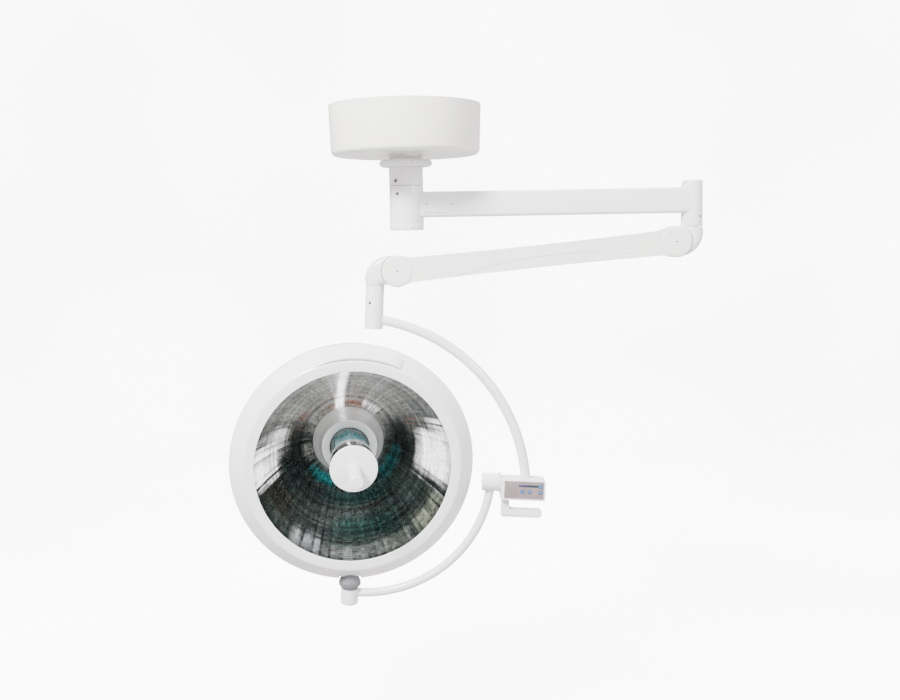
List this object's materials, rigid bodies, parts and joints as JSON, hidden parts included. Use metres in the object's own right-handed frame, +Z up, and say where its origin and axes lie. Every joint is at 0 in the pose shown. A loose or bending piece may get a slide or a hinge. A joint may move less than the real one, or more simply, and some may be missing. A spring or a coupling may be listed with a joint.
{
  "type": "ceiling-mounted operating light",
  "caption": "Ceiling operating light with a round canopy, swivelling arm, sprung arm, C-shaped yoke with control box, and a large mirror head with a sterile handle.",
  "frame": {"origin": "middle of the ceiling plate's upper face, where it meets the ceiling", "axes": "+Z up, +X along the folded arms, -Y towards the person in front of the lamp"},
  "size_m": [1.3493, 0.5016, 1.4365],
  "materials": {
    "white_enamel": "gloss, slightly warm white",
    "white_plastic": "satin white",
    "grey_plastic": "satin mid grey",
    "bright_steel": "turned",
    "zinc_plate": "zinc plated",
    "chrome": "polished",
    "bronze": "sintered",
    "transformer_core": "varnished",
    "spring_steel": "oiled",
    "panel_film": "printed film",
    "display_window_film": "dark tinted window",
    "circuit_board": "solder mask",
    "button_blue": "domed",
    "clear_glass": "clear",
    "satin_silver": "satin",
    "teal_glass": "coated",
    "dark_steel": "blackened",
    "ceramic": "unglazed",
    "quartz": "clear"
  },
  "bodies": {
    "ceiling_set": {"ceiling_plate": "zinc_plate", "cable_gland": "grey_plastic", "canopy": "white_enamel", "collar_half_left": "white_enamel", "collar_half_right": "white_enamel", "ceiling_post": "white_enamel", "transformer": "transformer_core", "swivel_spindle": "bright_steel", "spindle_nut": "zinc_plate"},
    "horizontal_arm": {"arm_hub": "white_enamel", "hub_bottom_cap": "white_enamel", "upper_bearing": "bright_steel", "lower_bearing": "bright_steel", "horizontal_arm_tube": "white_enamel", "arm_access_cover": "white_enamel", "arm_end_hub": "white_enamel", "end_hub_bush": "bronze"},
    "upper_elbow_body": {"upper_elbow": "white_enamel"},
    "spring_arm": {"spring_arm_casing": "white_enamel", "spring_arm_lower_cover": "white_enamel", "upper_pivot_pin": "white_enamel", "lower_pivot_pin": "white_enamel", "upper_pivot_disc": "white_enamel", "lower_pivot_disc": "white_enamel", "balance_spring": "spring_steel", "spring_seat": "zinc_plate", "spring_guide_rod": "bright_steel"},
    "level_link_body": {"level_link": "bright_steel"},
    "lower_elbow_body": {"lower_elbow": "white_enamel"},
    "upper_yoke": {"yoke_socket": "white_enamel", "yoke_bush": "bronze", "upper_yoke_tube": "white_enamel", "control_box_shell": "white_plastic", "control_panel": "panel_film", "brightness_display": "display_window_film", "control_board": "circuit_board", "box_grip": "white_plastic", "swivel_ring": "white_enamel"},
    "lower_yoke": {"swivel_stub": "white_enamel", "lower_yoke_tube": "white_enamel", "head_foot": "white_enamel"},
    "lamp_head": {"pivot_barrel": "grey_plastic", "front_rim": "white_enamel", "rim_grip": "white_enamel", "rear_housing": "white_enamel", "reflector": "chrome", "front_glass": "clear_glass", "reflector_cone": "satin_silver", "heat_glass": "teal_glass", "lamp_cage": "dark_steel", "chrome_band": "chrome", "centre_disc": "white_enamel"},
    "bulb_unit": {"bulb_carrier": "ceramic", "halogen_bulb": "quartz"},
    "handle": {"sterile_handle": "white_plastic", "handle_spindle": "bright_steel"},
    "power_button_body": {"power_button": "button_blue"},
    "dimmer_down_button_body": {"dimmer_down_button": "button_blue"},
    "dimmer_up_button_body": {"dimmer_up_button": "button_blue"},
    "lamp_select_button_body": {"lamp_select_button": "button_blue"}
  },
  "joints": [
    {"name": "ceiling_swivel", "type": "hinge", "parent": "ceiling_set", "child": "horizontal_arm", "pos_m": [0, 0, -0.2235], "axis": [0, 0, 1], "range_deg": [-170, 170]},
    {"name": "arm_swivel", "type": "hinge", "parent": "horizontal_arm", "child": "upper_elbow_body", "pos_m": [0.801, 0, -0.3495], "axis": [0, 0, 1], "range_deg": [-170, 170]},
    {"name": "arm_lift", "type": "hinge", "parent": "upper_elbow_body", "child": "spring_arm", "pos_m": [0.753, 0, -0.3915], "axis": [0, 1, 0], "range_deg": [-40, 4.5]},
    {"name": "level_link_pivot", "type": "hinge", "parent": "upper_elbow_body", "child": "level_link_body", "pos_m": [0.753, 0, -0.4115], "axis": [0, 1, 0], "range_deg": [-40.5, 5]},
    {"name": "lower_elbow_level", "type": "hinge", "parent": "spring_arm", "child": "lower_elbow_body", "pos_m": [-0.02892, 0, -0.46101], "axis": [0, 1, 0], "range_deg": [-5, 40.5]},
    {"name": "yoke_swivel", "type": "hinge", "parent": "lower_elbow_body", "child": "upper_yoke", "pos_m": [-0.09391, 0, -0.49903], "axis": [0.0576, 0, 0.9983], "range_deg": [-170, 170]},
    {"name": "tilt_swivel", "type": "hinge", "parent": "upper_yoke", "child": "lower_yoke", "pos_m": [0.25067, 0, -1.07212], "axis": [0.9983, 0, -0.0576], "range_deg": [-150, 150]},
    {"name": "head_pivot", "type": "hinge", "parent": "lower_yoke", "child": "lamp_head", "pos_m": [-0.19198, 0.02996, -1.38684], "axis": [0.0573, -0.0879, 0.9945], "range_deg": [-165, 165]},
    {"name": "handle_twist", "type": "hinge", "parent": "lamp_head", "child": "handle", "pos_m": [-0.1622, -0.06057, -1.01485], "axis": [0.1382, -0.9858, -0.0951], "range_deg": [-135, 135]},
    {"name": "focus_slide", "type": "slide", "parent": "lamp_head", "child": "bulb_unit", "axis": [0.1382, -0.9858, -0.0951], "range_m": [-0.0125, 0.0125]},
    {"name": "power_button_press", "type": "slide", "parent": "upper_yoke", "child": "power_button_body", "axis": [0, 1, 0], "range_m": [0, 0.0006], "stiffness_N_per_m": 600, "springref_m": -0.0005},
    {"name": "dimmer_down_button_press", "type": "slide", "parent": "upper_yoke", "child": "dimmer_down_button_body", "axis": [0, 1, 0], "range_m": [0, 0.0006], "stiffness_N_per_m": 600, "springref_m": -0.0005},
    {"name": "dimmer_up_button_press", "type": "slide", "parent": "upper_yoke", "child": "dimmer_up_button_body", "axis": [0, 1, 0], "range_m": [0, 0.0006], "stiffness_N_per_m": 600, "springref_m": -0.0005},
    {"name": "lamp_select_button_press", "type": "slide", "parent": "upper_yoke", "child": "lamp_select_button_body", "axis": [0, 1, 0], "range_m": [0, 0.0006], "stiffness_N_per_m": 600, "springref_m": -0.0005}
  ],
  "couplings": [
    {"joint": "level_link_pivot", "follows": "arm_lift", "ratio": 1},
    {"joint": "lower_elbow_level", "follows": "arm_lift", "ratio": -1},
    {"joint": "focus_slide", "follows": "handle_twist", "m_per_rad": 0.005093}
  ]
}
